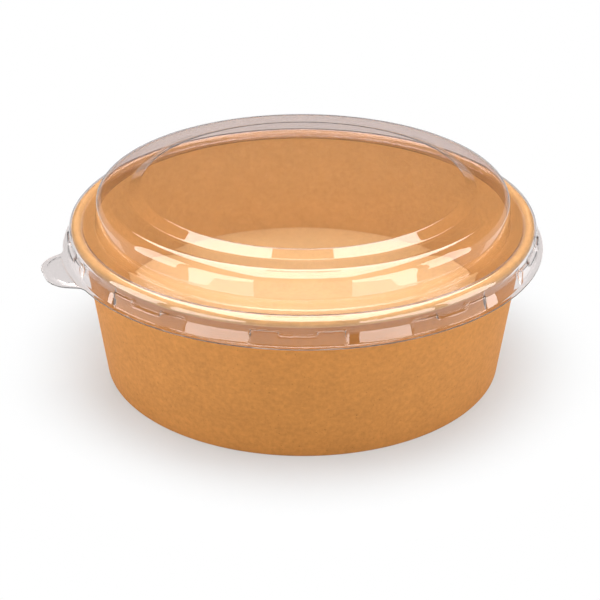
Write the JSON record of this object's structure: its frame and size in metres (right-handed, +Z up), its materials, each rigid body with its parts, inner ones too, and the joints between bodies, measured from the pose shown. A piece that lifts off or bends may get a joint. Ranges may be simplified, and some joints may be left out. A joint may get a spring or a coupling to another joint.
{
  "type": "kraft salad bowl with lid",
  "caption": "Round kraft board salad bowl with a rolled rim and a recessed floor, closed by a clear stepped dome lid with snap lugs and a pull tab.",
  "frame": {"origin": "centre of the foot ring, on the surface the bowl stands on", "axes": "+Z up along the bowl's axis, -Y towards the front, so the pull tab points to -X and a little forwards"},
  "size_m": [0.1966, 0.1916, 0.0774],
  "materials": {
    "kraft_wall": "matt brown kraft board with a fine fibre grain",
    "kraft_floor": "kraft board with a thin food-safe coating, satin",
    "clear_sheet": "clear thermoformed sheet, glossy"
  },
  "bodies": {
    "bowl": {"sidewall": "kraft_wall", "base_disc": "kraft_floor"},
    "cover": {"lid": "clear_sheet"}
  },
  "joints": [
    {"name": "lid_lift", "type": "slide", "parent": "bowl", "child": "cover", "axis": [0, 0, 1], "range_m": [0, 0.06]}
  ]
}
